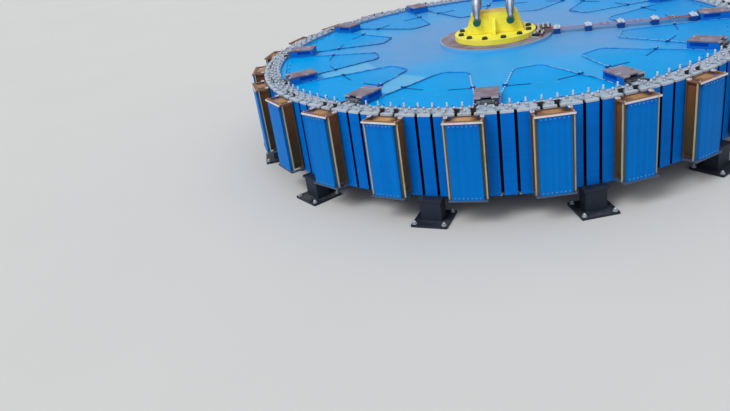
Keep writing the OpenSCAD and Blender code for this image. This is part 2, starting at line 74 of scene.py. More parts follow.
rim_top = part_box("rim_top_plates")[1].z
rim_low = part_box("rim_bottom_plates")[0].z
rim_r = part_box("rim_top_plates")[1].x
disc_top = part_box("spider_disc")[1].z
hub_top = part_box("hub_top_flange")[1].z
hub_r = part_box("hub_top_flange")[1].x
base_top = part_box("lifting_base")[1].z
housing_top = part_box("arm_end_caps")[0].z
retainer_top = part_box("rim_key_retainers")[1].z
shoe_low, shoe_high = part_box("pole_bodies")
coil_low, coil_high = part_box("pole_coils")
frame_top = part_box("pole_top_frames")[1].z
clamp_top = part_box("lead_clamps")[1].z
bar_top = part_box("lead_bars")[1].z
terminal_low, terminal_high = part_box("lead_terminal")
RIM_INNER = 4.2
HOUSING_IN, HOUSING_OUT, HOUSING_HALF = 3.645, 4.14, 0.17
SUNK_OUT = 3.97
SLOT_BACK = 4.38
COIL_IN, COIL_OUT, COIL_TURNS = 4.5303, 4.6898, 18
SHOE_OUT, FRAME_OUT = 4.7553, 4.7603
HUB_MIDDLE = 1.2


def outward(angle):
    """Direction away from the shaft at an angle."""
    turn = math.radians(angle)
    return Vector((math.sin(turn), -math.cos(turn), 0))


def sideways(angle):
    """Direction round the shaft at an angle."""
    turn = math.radians(angle)
    return Vector((math.cos(turn), math.sin(turn), 0))


def spot(angle, radius, side=0.0, height=0.0):
    """A point by its angle and radius, moved sideways and up."""
    return outward(angle) * radius + sideways(angle) * side + Vector((0, 0, height))


# Node graphs, for finishes and for shapes

class Socket:
    """A node's output, so that sums and products of outputs read as plain expressions."""

    def __init__(self, graph, out):
        self.graph, self.out = graph, out

    def sum_up(self, operation, first, second):
        vector = any(isinstance(v, Socket) and v.out.type == "VECTOR" for v in (first, second))
        kind = "ShaderNodeVectorMath" if vector else "ShaderNodeMath"
        return self.graph.add(kind, {0: first, 1: second}, operation=operation)

    def __add__(self, other):
        return self.sum_up("ADD", self, other)

    def __radd__(self, other):
        return self.sum_up("ADD", other, self)

    def __sub__(self, other):
        return self.sum_up("SUBTRACT", self, other)

    def __rsub__(self, other):
        return self.sum_up("SUBTRACT", other, self)

    def __mul__(self, other):
        return self.sum_up("MULTIPLY", self, other)

    def __rmul__(self, other):
        return self.sum_up("MULTIPLY", other, self)

    def __truediv__(self, other):
        return self.sum_up("DIVIDE", self, other)

    def __gt__(self, other):
        return self.sum_up("GREATER_THAN", self, other)

    def __lt__(self, other):
        return self.sum_up("LESS_THAN", self, other)


class Graph:
    """A node tree that is filled one node at a time."""

    def __init__(self, tree):
        self.tree = tree

    def add(self, kind, inputs=None, output=0, **settings):
        """Makes a node: its settings first, then its sockets' values and links."""
        node = self.tree.nodes.new(kind)
        for key, value in settings.items():
            setattr(node, key, value)
        for key, value in (inputs or {}).items():
            for one in value if isinstance(value, list) else [value]:
                if isinstance(one, Socket):
                    self.tree.links.new(one.out, node.inputs[key])
                elif node.inputs[key].type == "VECTOR" and isinstance(one, (int, float)):
                    node.inputs[key].default_value = (one, one, one)
                else:
                    node.inputs[key].default_value = one
        return Socket(self, node.outputs[output]) if len(node.outputs) else None

    def work(self, operation, *values):
        """An operation on numbers that has no sign in Python."""
        return self.add("ShaderNodeMath", dict(enumerate(values)), operation=operation)

    def vector(self, x=0.0, y=0.0, z=0.0):
        return self.add("ShaderNodeCombineXYZ", {0: x, 1: y, 2: z})


def light(colour):
    """A screen colour as linear light. A node's output stays as it is."""
    if isinstance(colour, Socket):
        return colour
    shares = (value / 255 for value in colour)
    return (*(v / 12.92 if v <= 0.04045 else ((v + 0.055) / 1.055) ** 2.4 for v in shares), 1)


class Paint(Graph):
    """A finish that is worked out from the place on the part."""

    def __init__(self, name):
        self.material = bpy.data.materials.new(name + "_finish")
        self.material.use_nodes = True
        super().__init__(self.material.node_tree)
        self.tree.nodes.clear()
        self.place = self.add("ShaderNodeTexCoord", output="Object")
        self.x, self.y, self.z = (self.add("ShaderNodeSeparateXYZ", {0: self.place}, axis) for axis in "XYZ")

    def up(self):
        """1 where the surface faces up."""
        facing = self.add("ShaderNodeTexCoord", output="Normal")
        return self.add("ShaderNodeSeparateXYZ", {0: facing}, "Z") > 0.7

    def noise(self, scale, detail, rough=0.6, stretch=(1, 1, 1), seed=0):
        """Cloudy noise around 0.5, of a size given by its scale in waves to the metre."""
        place = self.add("ShaderNodeMapping", {
            "Vector": self.place, "Scale": stretch, "Location": (seed, seed * 1.7, seed * 0.6)})
        return self.add("ShaderNodeTexNoise", {
            "Vector": place, "Scale": scale, "Detail": detail, "Roughness": rough}, "Fac")

    def step(self, value, low, high):
        """Smoothly from 0 at low to 1 at high."""
        return self.add("ShaderNodeMapRange", {"Value": value, "From Min": low, "From Max": high},
                        interpolation_type="SMOOTHSTEP")

    def patches(self, low, high, *cloud, **more):
        """Scattered patches where a noise goes from low to high."""
        return self.step(self.noise(*cloud, **more), low, high)

    def between(self, value, low, high, soft):
        """1 between two limits, with soft edges."""
        return self.step(value, low - soft, low + soft) * (1 - self.step(value, high - soft, high + soft))

    def mix(self, share, first, second, blend="MIX"):
        """Blends two colours."""
        return self.add("ShaderNodeMix", {0: share, 6: light(first), 7: light(second)}, 2, data_type="RGBA",
                        blend_type=blend)

    def coats(self, tone, *layers):
        """Blends further colours over a colour, each with its share."""
        for share, colour in layers:
            tone = self.mix(share, tone, colour)
        return tone

    def shade(self, colour, amount):
        """Makes a colour lighter or darker by a factor."""
        return self.mix(1.0, colour, self.vector(amount, amount, amount), "MULTIPLY")

    def radius(self):
        """Distance from the shaft's axis."""
        return self.work("SQRT", self.x * self.x + self.y * self.y)

    def local(self, start, step):
        """Places along and across the nearest of the directions start + k * step, in degrees."""
        half = math.radians(step / 2)
        angle = self.work("ARCTAN2", self.x, self.y * -1)
        turn = self.work("WRAP", angle - math.radians(start), half, -half)
        radius = self.radius()
        return radius * self.work("COSINE", turn), radius * self.work("SINE", turn)

    def by_pole(self):
        """Places along the nearest pole, and away from its middle to either side."""
        along, across = self.local(POLE_START, POLE_STEP)
        return along, self.work("ABSOLUTE", across)

    def finish(self, colour, roughness, height=None, depth=0.0006, metal=0.0, specular=0.25):
        """Closes the finish with its colour, roughness and surface relief, the relief's depth in metres."""
        values = {"Base Color": colour, "Roughness": roughness, "Metallic": metal,
                  "Specular IOR Level": specular}
        if height is not None:
            values["Normal"] = self.add("ShaderNodeBump", {"Distance": depth, "Height": height})
        self.add("ShaderNodeOutputMaterial", {"Surface": self.add("ShaderNodeBsdfPrincipled", values)})
        return self.material


# Finishes

def painted(name, colour, dust=0.35, dust_colour=(150, 165, 180), roughness=0.32, specular=0.2,
            touch=None, chipped=0.7):
    """Sprayed enamel with clouding, settled dust, rubbed spots and a fine orange-peel surface."""
    paint = Paint(name)
    fine = paint.noise(9, 6, 0.65, seed=3)
    tone = paint.shade(colour, paint.noise(1.1, 5, 0.6) * 0.3 + fine * 0.18 + 0.76)
    if touch:
        tone = touch(paint, tone)
    settled = paint.up() * paint.patches(0.42, 0.72, 2.4, 8, 0.62, seed=7) * dust
    streaks = paint.patches(0.6, 0.8, 2, 7, 0.7, (7, 7, 0.5), 5) * (1 - paint.up()) * 0.22
    chips = paint.patches(0.735, 0.76, 26, 3, 0.5, seed=11)
    tone = paint.coats(tone, (settled, dust_colour), (streaks, (70, 66, 62)),
                       (chips * chipped, (96, 98, 102)))
    peel = paint.noise(90, 2, 0.5, seed=1)
    rough = settled * 0.5 + fine * 0.16 + (roughness - 0.08)
    return paint.finish(tone, rough, peel - chips * 0.8, 0.0012, specular=specular)


def lilac_reflection(paint):
    """1 where a painted reflection makes the blue pale lilac: round the hub, less towards -Y, and towards +Y.
    """
    wander = (paint.noise(0.8, 3, seed=35) - 0.5) * 1.2
    inner = 1 - paint.step(paint.radius() + wander, 1.9, 3.3)
    back = paint.y + paint.work("ABSOLUTE", paint.x) * 0.9 + paint.noise(0.9, 2, 0.5, seed=37)
    inner = inner * (paint.step(back, -0.6, 1.2) * 0.82 + 0.18)
    return inner + paint.step(paint.y, 0.8, 3.4) * (1 - inner) * 0.55


def far_edge(paint, least, dashes):
    """How much of the painted shade is taken off the cover sheets' edges that face away from -Y: at least so
    much, and more in dashes.
    """
    along, across = paint.local(ARM_STEP / 2, ARM_STEP)
    square = along * along + across * across
    bay_sine = (paint.x * along + paint.y * across) / square
    bay_cosine = (paint.x * across - paint.y * along) / square
    inner = 1 - paint.step(along, 2.36, 2.46)
    away = bay_sine * ((across > 0) * 2 - 1) * (1 - inner) + bay_cosine * inner
    dash = paint.patches(0.44, 0.56, 2.2, 2, 0.5, seed=105)
    return paint.step(away, 0.2, 0.48) * (least + dash * dashes)


def shaded_lip(paint, tone):
    """Painted shade on the cover sheets' raised edges, less where they face away from -Y, their tops rubbed
    pale here and there.
    """
    lip = paint.z > disc_top + 0.006
    rub = paint.noise(2.6, 4, seed=21) + paint.step(paint.x, -0.6, 0.8) * 0.08
    specks = paint.patches(0.7, 0.73, 15, 2, 0.5, (1, 1.8, 1), 103)
    return paint.coats(
        # painted shade: dark blue on the raised edges, less on edges that face away from -Y
        tone, (lip * (0.85 - far_edge(paint, 0.55, 0.25)), (14, 82, 142)),
        # painted reflection: pale lilac on the sheets round the hub and towards +Y
        (lilac_reflection(paint) * (1 - lip) * 0.46, (120, 148, 194)),
        # painted shade: darker blue towards +X
        (paint.step(paint.x, 1.8, 4.2) * 0.3, (66, 118, 186)),
        (specks * (1 - lip) * 0.45, (150, 208, 240)),
        (lip * paint.step(rub, 0.6, 0.68) * 0.5, (110, 175, 220)))


def patchy(paint, tone):
    """Leaves most of the clamping strips in dark paint on the side away from the leads, which also draws
    painted shade.
    """
    worn = paint.noise(1.9, 2, 0.5, seed=81) + paint.step(paint.x, -0.9, 1.2) * 0.22
    return paint.coats(tone, ((1 - paint.step(worn, 0.56, 0.64)) * 0.9, (12, 82, 150)),
                       # painted shade: the dark strips stand for shade along the near edges; on edges facing
                       # away from -Y they are painted disc blue
                       (far_edge(paint, 0.5, 0.4), (34, 150, 222)))


def disc_wear_and_painted_light(paint, tone):
    """A paler patch, scuffs, footmarks and drag marks on the walked-on disc, with a painted reflection and
    painted shade.
    """
    patch = paint.between(paint.radius(), 2.55, 3.5, 0.03) * (paint.x < -1.1) * (paint.y < -0.95)
    return paint.coats(
        # painted reflection: pale lilac round the hub and towards +Y; painted shade: darker blue towards +X
        tone, (lilac_reflection(paint) * 0.55, (124, 148, 194)), (paint.step(paint.x, 1.8, 4.2) * 0.35, (66, 112, 178)),
        (patch * 0.42, (136, 204, 226)),
        (paint.patches(0.6, 0.72, 3, 6, 0.7, (0.7, 3.4, 1), 31) * 0.26, (120, 196, 232)),
        (paint.patches(0.66, 0.74, 5.5, 5, seed=33) * 0.25, (10, 92, 160)))


def laminations_and_slot_shade(paint, tone):
    """Fine level lines where the rim's thin sheets are stacked, and painted shade that makes the slots
    near-black inside.
    """
    sheets = paint.noise(1, 2, 0.5, (0.25, 0.25, 150), 41)
    packs = paint.noise(1, 1, 0.5, (0.2, 0.2, 24), 43)
    wash = paint.noise(1, 4, 0.6, (9, 9, 0.4), 45)
    tone = paint.shade(tone, sheets * 0.3 + packs * 0.16 + wash * 0.3 + 0.62)
    # painted shade inside the slots
    slot = (paint.radius() > SLOT_BACK - 0.003) * (paint.radius() < rim_r - 0.003)
    return paint.mix(slot * 0.97, tone, (4, 10, 30))


def shoe_streaks_and_shade(paint, tone):
    """Upright streaks on the pole shoes, a painted shadow along their tops and painted shade towards their
    edges.
    """
    streak = paint.noise(1, 4, 0.6, (26, 26, 0.35), 51)
    # painted shade towards the shoe's edges
    edge = paint.step(paint.by_pole()[1], 0.19, 0.232)
    # painted shadow along the top of the shoe
    head = paint.step(paint.z, shoe_high.z - 0.14, shoe_high.z - 0.02)
    return paint.shade(paint.mix(head * 0.35, tone, (0, 78, 176)), streak * 0.5 + 0.78 - edge * 0.15)


def housing_paint_and_shade(paint, tone):
    """Lighter blue on the arms' housings, painted shade in their sunk part, and bare dark steel on their
    outer ends.
    """
    along = paint.local(0, ARM_STEP)[0]
    above = paint.z > disc_top
    # painted shade in the sunk part of the housings' sides
    sunk = paint.between(along, HOUSING_IN + 0.045, SUNK_OUT, 0.006) * paint.between(
        paint.z, disc_top + 0.062, housing_top - 0.012, 0.004)
    return paint.coats(tone, (above * (1 - sunk) * 0.55, (20, 122, 216)), (sunk * 0.8, (0, 56, 146)),
                       ((along > HOUSING_OUT - 0.004) * above, (64, 66, 74)))


def knocked(paint, tone):
    """Scratches and knocks through the lifting device's paint, and the soiled top of its body."""
    def rise(low, high):
        return paint.step(paint.z, base_top + low, base_top + high)

    crown = rise(0.36, 0.376) * paint.up()
    return paint.coats(
        tone, (crown * 0.75, (210, 172, 22)),
        (crown * paint.patches(0.48, 0.56, 7, 5, 0.65, (1, 1.6, 1), 67) * 0.6, (150, 110, 24)),
        (rise(0.1, 0.34) * paint.patches(0.5, 0.66, 4, 4, seed=69) * 0.35, (222, 158, 28)),
        # darker golden yellow along the foot of the body towards +X
        (paint.step(paint.x, 0.3, 0.46) * rise(0.01, 0.06) * 0.45, (224, 182, 28)),
        (paint.patches(0.58, 0.78, 6, 6, 0.7, seed=63) * 0.35, (120, 100, 40)),
        (paint.patches(0.68, 0.73, 16, 3, 0.6, (1, 1, 0.2), 61) * 0.65, (92, 84, 70)))


def bare_metal(name, colour, dark, roughness, metal, scale):
    """Worn steel, bright in places and tarnished in others."""
    paint = Paint(name)
    brushed = paint.noise(60, 3, seed=73)
    stain = paint.patches(0.4, 0.68, scale, 6, 0.65, seed=71)
    tone = paint.shade(paint.mix(stain, colour, dark), brushed * 0.3 + 0.85)
    rough = stain * 0.22 + brushed * 0.12 + (roughness - 0.08)
    return paint.finish(tone, rough, brushed, 0.0008, metal - stain * 0.25, 0.5)


def shackle_metal_and_shade(pin):
    """Galvanised steel, with painted shade along the sides of a shackle's legs and round its pin."""
    low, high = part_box(pin)
    paint = Paint(pin + "_bow")
    blotch = paint.noise(14, 6, 0.65, seed=71)
    brushed = paint.noise(60, 3, seed=73)
    side = paint.work("ABSOLUTE", paint.x - (low.x + high.x) / 2)
    rise = paint.z - (low.z + high.z) / 2
    reach = paint.work("SQRT", side * side + rise * rise)
    tone = paint.coats((220, 228, 238), (paint.step(blotch, 0.4, 0.68), (184, 192, 204)),
                       # painted shade along the legs' sides
                       (paint.step(side, 0.012, 0.032) * 0.85, (92, 102, 120)),
                       # painted shade round the pin
                       ((1 - paint.step(reach, 0.072, 0.09)) * 0.8, (92, 104, 102)))
    return paint.finish(paint.shade(tone, brushed * 0.24 + 0.88), blotch * 0.2 + 0.3, brushed, metal=0.4,
                        specular=0.5)


def ring_grey_with_highlight():
    """Thin grey coat on the rim's end plates, stained round the studs, with a painted highlight along the
    outer edge.
    """
    paint = Paint("ring_grey")
    fine = paint.noise(22, 5, seed=5)
    tone = paint.coats(
        paint.shade((170, 188, 204), paint.noise(2.2, 6, 0.65) * 0.3 + fine * 0.3 + 0.7),
        # painted highlight along the plates' outer edge
        (paint.step(paint.radius(), rim_r - 0.055, rim_r - 0.035) * 0.5, (205, 210, 218)),
        (paint.patches(0.52, 0.68, 9, 6, 0.7, seed=9) * 0.55, (90, 92, 102)),
        (paint.patches(0.56, 0.72, 5, 4, seed=13) * 0.35, (186, 166, 178)))
    return paint.finish(tone, fine * 0.2 + 0.42, fine, 0.001, 0.15, 0.3)


def frame_finish():
    """Pale laminate on the end frames' front faces and rear pads, brown varnish on the rest of them."""
    paint = Paint("frame")
    middle = (shoe_low.z + shoe_high.z) / 2
    pad = paint.work("ABSOLUTE", paint.z - middle) > (frame_top - middle - 0.0145)
    front = paint.step(paint.by_pole()[0], FRAME_OUT - 0.012, FRAME_OUT - 0.006)
    mottle = paint.noise(18, 6, 0.65)
    tone = paint.mix(paint.work("MAXIMUM", pad, front), (128, 88, 62), (226, 216, 214))
    marks = paint.patches(0.52, 0.7, 6, 6, 0.7, seed=29)
    tone = paint.mix(marks * 0.45, paint.shade(tone, mottle * 0.3 + 0.83), (150, 112, 88))
    return paint.finish(tone, mottle * 0.2 + 0.4, mottle)


def machined_finish():
    """Turned and milled faces with a brownish tarnish, and the top flange's bright edge and blue skirt."""
    paint = Paint("machined")
    rings = paint.noise(1, 2, 0.5, (90, 6, 6), 15)
    cloud = paint.noise(3, 5, seed=17)
    flange = (paint.radius() < hub_r + 0.01) * (paint.z > HUB_MIDDLE)
    tone = paint.mix(paint.step(cloud, 0.38, 0.66), (138, 136, 154), (118, 96, 104))
    tone = paint.coats(
        paint.shade(tone, rings * 0.34 + 0.83),
        (paint.step(paint.radius(), hub_r - 0.03, hub_r - 0.014) * flange * 0.6, (176, 192, 208)),
        (paint.patches(0.64, 0.74, 12, 5, 0.65, seed=19) * 0.45, (92, 74, 76)),
        (flange * (paint.z < hub_top - 0.003) * 0.9, (96, 186, 232)))
    return paint.finish(tone, cloud * 0.18 + 0.36, rings, metal=0.15)


def cap_finish():
    """Planed caps of the arms' housings, reddish with tarnish and bright along their outer edge."""
    paint = Paint("cap")
    along, across = paint.local(0, ARM_STEP)
    plane = paint.noise(1, 3, 0.6, (50, 8, 8), 83)
    cloud = paint.noise(4, 5, seed=85)
    place = paint.vector(along * 11 + paint.x * 5, across * 1.4, paint.y * 5)
    cut = paint.add("ShaderNodeTexNoise", {"Vector": place, "Scale": 1.0, "Detail": 3.0}, "Fac")
    tone = paint.coats((128, 126, 144), (paint.step(cloud, 0.36, 0.66), (120, 92, 98)),
                       (paint.step(cut, 0.56, 0.72) * 0.6, (214, 204, 206)))
    tone = paint.coats(
        paint.shade(tone, plane * 0.3 + 0.84),
        (paint.patches(0.62, 0.74, 14, 5, 0.65, seed=87) * 0.4, (84, 72, 80)),
        (paint.step(along, HOUSING_OUT - 0.02, HOUSING_OUT) * 0.55, (196, 198, 208)))
    return paint.finish(tone, cloud * 0.2 + 0.36, plane, metal=0.15)


def packing_finish(name, colour, dark):
    """Key steel in level layers, with dark gaps between them."""
    paint = Paint(name)
    layers = paint.noise(1, 2, 0.5, (1.5, 1.5, 46), 89)
    cloud = paint.noise(16, 5, 0.65, seed=91)
    tone = paint.shade(paint.mix(paint.step(layers, 0.4, 0.62), colour, dark), cloud * 0.5 + 0.72)
    return paint.finish(tone, cloud * 0.2 + 0.4, layers, 0.002, 0.2, 0.3)


def bar_wrap_finish():
    """Wrapped lead bars: coppery by the hub, lilac grey along the disc and reddish by the rim."""
    paint = Paint("bar_wrap")
    wrap = paint.noise(1, 2, 0.5, (34, 3, 3), 93)
    cloud = paint.noise(5, 5, seed=95)
    tone = paint.coats((184, 118, 84), (paint.step(paint.x, 1.16, 1.32), (146, 140, 178)),
                       (paint.step(paint.x, 2.7, 3.4), (142, 92, 108)))
    return paint.finish(paint.shade(tone, wrap * 0.34 + cloud * 0.24 + 0.7), cloud * 0.2 + 0.4, wrap, 0.001)


def clamp_finish():
    """Dark blue clamp blocks with pale tops."""
    paint = Paint("clamp")
    cloud = paint.noise(20, 5, seed=97)
    top = paint.step(paint.z, clamp_top - 0.02, clamp_top - 0.014)
    tone = paint.shade(paint.mix(top, (12, 66, 138), (196, 208, 222)), cloud * 0.5 + 0.75)
    dark = paint.patches(0.6, 0.66, 26, 3, 0.5, seed=99)
    return paint.finish(paint.mix(top * dark * 0.7, tone, (60, 48, 60)), cloud * 0.2 + 0.36, cloud)


def copper_with_sheen():
    """Varnished strip copper: tan ends with a painted highlight along their middle, brown sides, darker and
    olive towards the bottom and golden next to the shoe.
    """
    paint = Paint("copper")
    along, wide = paint.by_pole()
    half = (coil_high.z - coil_low.z) / 2
    rise = paint.work("ABSOLUTE", paint.z - (coil_low.z + coil_high.z) / 2)
    end = paint.step(rise, half - 0.1, half - 0.03)
    turns = paint.noise(1, 2, 0.5, seed=23)
    varnish = paint.noise(12, 5, seed=25)
    pool = (paint.noise(4, 3, seed=101) - 0.5) * 0.16
    flank = paint.coats((74, 66, 44), (paint.step(paint.z, coil_low.z + 0.3, coil_high.z), (118, 74, 42)),
                        (paint.step(along, COIL_OUT - 0.05, COIL_OUT) * 0.5, (150, 112, 66)))
    # painted highlight in the middle of the coils' ends, darker towards their corners
    crown = paint.mix(paint.step(wide + pool, 0.05, 0.2), (182, 140, 94), (92, 66, 54))
    tone = paint.shade(paint.mix(end, flank, crown), varnish * 0.5 + turns * 0.2 + 0.66)
    return paint.finish(tone, varnish * 0.25 + 0.28, varnish, metal=end * 0.25 + 0.05, specular=0.3)


def collar_finish():
    """Olive laminate on the outer collars, dark beside the shoes and pale along its cut edges."""
    paint = Paint("outer_collar")
    mottle = paint.noise(16, 6, 0.65)
    tone = paint.mix(paint.step(paint.by_pole()[1], 0.262, 0.27), (88, 84, 66), (184, 176, 150))
    marks = paint.patches(0.5, 0.68, 2, 6, 0.7, (3, 3, 0.8), 29)
    tone = paint.mix(marks * 0.5, paint.shade(tone, mottle * 0.4 + 0.8), (116, 96, 62))
    return paint.finish(tone, mottle * 0.2 + 0.4, mottle, specular=0.2)


def laminate(name, colour, dark, roughness=0.5):
    """Pressed glass laminate with a faint mottle, fibres and brown handling marks."""
    paint = Paint(name)
    mottle = paint.noise(18, 6, 0.65)
    fibre = paint.noise(2, 4, 0.6, (40, 40, 3), 27)
    marks = paint.patches(0.54, 0.74, 5, 6, 0.7, seed=29)
    tone = paint.mix(marks * 0.5, paint.shade(colour, mottle * 0.24 + fibre * 0.2 + 0.78), dark)
    return paint.finish(tone, mottle * 0.2 + roughness - 0.1, fibre)


FINISH = {
    "rim_blue": painted("rim_blue", (0, 106, 200), 0.1, roughness=0.45, specular=0.05, touch=laminations_and_slot_shade),
    "disc_blue": painted("disc_blue", (0, 164, 234), 0.2, (84, 168, 218), 0.34, 0.05, disc_wear_and_painted_light,
                         chipped=0.15),
    "arm_blue": painted("arm_blue", (0, 92, 190), 0.15, specular=0.08, touch=housing_paint_and_shade),
    "pole_blue": painted("pole_blue", (0, 111, 196), 0.05, roughness=0.42, specular=0.05, touch=shoe_streaks_and_shade),
    "ring_grey": ring_grey_with_highlight(),
    "machined": machined_finish(),
    "key_dark": bare_metal("key_steel", (74, 70, 70), (40, 36, 34), 0.45, 0.5, 20),
    "copper": copper_with_sheen(),
    "insulation": laminate("collar", (166, 162, 146), (112, 94, 70)),
    "frame_pale": frame_finish(),
    "lift_yellow": painted("lift_yellow", (250, 240, 82), 0.15, (230, 214, 110), 0.4, touch=knocked),
    "galvanised": bare_metal("galvanised", (214, 222, 232), (182, 190, 202), 0.38, 0.5, 16),
    "pin_green": painted("pin_green", (16, 98, 78), 0.2, roughness=0.4),
    "pedestal_dark": painted("pedestal", (36, 42, 56), 0.5, (120, 118, 112), 0.5),
}
bar_finish = bar_wrap_finish()
inner_brown = laminate("inner_collar", (98, 72, 50), (54, 42, 34))
pole_key_black = bare_metal("pole_key", (40, 40, 44), (16, 16, 20), 0.5, 0.3, 20)
nut_dark = bare_metal("dark_nut", (170, 176, 190), (104, 104, 116), 0.5, 0.1, 40)
nut_green = bare_metal("green_nut", (34, 58, 42), (16, 26, 20), 0.5, 0.05, 40)
washer_pale = bare_metal("washer", (196, 206, 216), (150, 156, 164), 0.4, 0.2, 30)
stud_pale = bare_metal("stud", (222, 234, 246), (172, 182, 194), 0.36, 0.2, 40)
tick_pale = bare_metal("bar_end", (96, 160, 214), (30, 100, 180), 0.4, 0.1, 60)
lug_red = bare_metal("lug", (112, 58, 52), (60, 34, 34), 0.4, 0.3, 40)
clip_blue = painted("clip", (118, 184, 228), 0.2, (160, 200, 224), 0.35, touch=patchy)
clip_pale = painted("near_clip", (168, 204, 230), 0.3, (190, 206, 222), 0.35, chipped=0.4)
strap_dark = painted("strap_dark", (14, 92, 160), 0.2, (70, 130, 180), 0.35, 0.1)
OWN_FINISH = {
    "cover_sheets": painted("cover_sheet", (0, 160, 234), 0.06, (50, 170, 230), 0.34, 0.01, shaded_lip,
                            chipped=0.1),
    "lead_bars": bar_finish, "lead_clamps": clamp_finish(), "arm_end_caps": cap_finish(),
    "inner_collars": inner_brown, "outer_collars": collar_finish(), "pole_keys": pole_key_black,
    "rim_key_packs": packing_finish("key_pack", (108, 112, 122), (46, 44, 48)),
    "lead_terminal": laminate("terminal", (122, 102, 104), (64, 50, 50)),
    "pole_bottom_frames": laminate("lower_frame", (76, 90, 110), (56, 58, 64)),
    "left_shackle_bow": shackle_metal_and_shade("left_shackle_pin"),
    "right_shackle_bow": shackle_metal_and_shade("right_shackle_pin"),
}
slot_of = {part["node"]: part["material_slot"] for part in frame["record"]["subparts"]}
for name, node in frame["nodes"].items():
    node.data.materials.clear()
    node.data.materials.append(OWN_FINISH.get(name, FINISH[slot_of[name]]))


# Shape trees

class Shape(Graph):
    """A tree that builds a shape from its source mesh and named sizes."""

    def __init__(self, name, sizes, finishes):
        super().__init__(bpy.data.node_groups.new(name, "GeometryNodeTree"))
        self.ids = {}
        self.socket("Source", "Geometry")
        self.socket("Shape", "Geometry", "OUTPUT")
        for label, value in sizes.items():
            self.socket(label, "Int" if isinstance(value, int) else "Float").default_value = value
        for label in finishes:
            self.socket(label, "Material")
        self.entry = self.tree.nodes.new("NodeGroupInput")
        self.source = self.size("Source")

    def socket(self, label, kind, way="INPUT"):
        item = self.tree.interface.new_socket(name=label, in_out=way, socket_type="NodeSocket" + kind)
        self.ids[label] = item.identifier
        return item

    def size(self, label):
        return Socket(self, self.entry.outputs[label])

    def raised(self, geometry, height):
        return self.add("GeometryNodeTransform", {"Geometry": geometry, "Translation": self.vector(z=height)})

    def coated(self, geometry, material):
        return self.add("GeometryNodeSetMaterial", {"Geometry": geometry, "Material": self.size(material)})

    def joined(self, *geometries):
        return self.add("GeometryNodeJoinGeometry", {0: list(geometries)})

    def cone(self, sides, radius, share, height):
        """A cone on the ground, cut off where its radius is a share of its foot's."""
        return self.add("GeometryNodeMeshCone", {
            "Vertices": sides, "Radius Bottom": radius, "Radius Top": radius * share,
            "Depth": height}, "Mesh")

    def on_points(self, instance):
        """Closes the tree: an instance on every point, its Z along the facing and X along the heading."""
        facing, heading = (
            self.add("GeometryNodeInputNamedAttribute", {"Name": label}, data_type="FLOAT_VECTOR")
            for label in ("facing", "heading"))
        turn = self.add("FunctionNodeAlignRotationToVector", {"Vector": facing}, axis="Z")
        turn = self.add("FunctionNodeAlignRotationToVector", {"Rotation": turn, "Vector": heading},
                        axis="X", pivot_axis="Z")
        return self.close(self.add("GeometryNodeInstanceOnPoints", {
            "Points": self.source, "Instance": instance, "Rotation": turn}))

    def close(self, geometry):
        whole = self.add("GeometryNodeRealizeInstances", {"Geometry": geometry})
        output = self.tree.nodes.new("NodeGroupOutput")
        self.tree.links.new(whole.out, output.inputs[0])
        return self


def fastener_tree():
    """A nut with its washer and stud on every point."""
    shape = Shape("fastener", {"Nut Radius": 0.03, "Nut Height": 0.03, "Washer Radius": 0.035,
                               "Washer Height": 0.005, "Stud Radius": 0.015, "Stud Height": 0.05},
                  ("Nut Finish", "Washer Finish", "Stud Finish"))
    low = shape.size("Washer Height")

    def rod(part, sides, height, foot):
        body = shape.add("GeometryNodeMeshCylinder", {
            "Vertices": sides, "Radius": shape.size(part + " Radius"), "Depth": height}, "Mesh")
        return shape.raised(body, foot + height * 0.5)

    def bolt(part, sides, share, straight):
        """A bar on the washer, whose top narrows to a share of its radius above its straight length."""
        high = shape.size(part + " Height")
        tip = shape.cone(sides, shape.size(part + " Radius"), share, high * (1 - straight))
        tip = shape.raised(tip, low + high * straight)
        return shape.coated(shape.joined(rod(part, sides, high * straight, low), tip), part + " Finish")

    washer = shape.coated(rod("Washer", 16, low, 0.0), "Washer Finish")
    return shape.on_points(shape.joined(washer, bolt("Nut", 6, 0.86, 0.84), bolt("Stud", 10, 0.7, 0.9)))


def plate_tree():
    """A small chamfered plate with a screw head in its middle on every point."""
    shape = Shape("plate", {"Length": 0.1, "Width": 0.02, "Height": 0.01, "Screw Radius": 0.006},
                  ("Plate Finish", "Screw Finish"))
    length, width, height = (shape.size(label) for label in ("Length", "Width", "Height"))
    screw_r = shape.size("Screw Radius")

    def layer(long, wide, high, middle):
        size = shape.vector(length * long, width * wide, height * high)
        return shape.raised(shape.add("GeometryNodeMeshCube", {"Size": size}, "Mesh"), height * middle)

    plate = shape.coated(shape.joined(layer(1, 1, 0.7, 0.35), layer(0.94, 0.72, 0.3, 0.85)), "Plate Finish")
    head = shape.raised(shape.cone(10, screw_r, 0.7, screw_r * 0.7), height)
    return shape.on_points(shape.joined(plate, shape.coated(head, "Screw Finish")))


def bead_tree():
    """A rippled weld bead along the source's edges."""
    shape = Shape("bead", {"Radius": 0.008, "Pitch": 0.02, "Ripple": 0.003}, ("Finish",))
    path = shape.add("GeometryNodeMeshToCurve", {"Mesh": shape.source})
    path = shape.add("GeometryNodeResampleCurve", {"Curve": path, "Length": shape.size("Pitch")},
                     mode="LENGTH")
    ring = shape.add("GeometryNodeCurvePrimitiveCircle", {"Resolution": 6, "Radius": shape.size("Radius")})
    bead = shape.add("GeometryNodeCurveToMesh", {"Curve": path, "Profile Curve": ring, "Fill Caps": True})
    wave = shape.add("ShaderNodeTexNoise", {"Scale": 40.0, "Detail": 1.0}, "Fac") - 0.5
    shift = shape.add("GeometryNodeInputNormal") * (wave * shape.size("Ripple"))
    bead = shape.add("GeometryNodeSetPosition", {"Geometry": bead, "Offset": shift})
    return shape.close(shape.coated(bead, "Finish"))


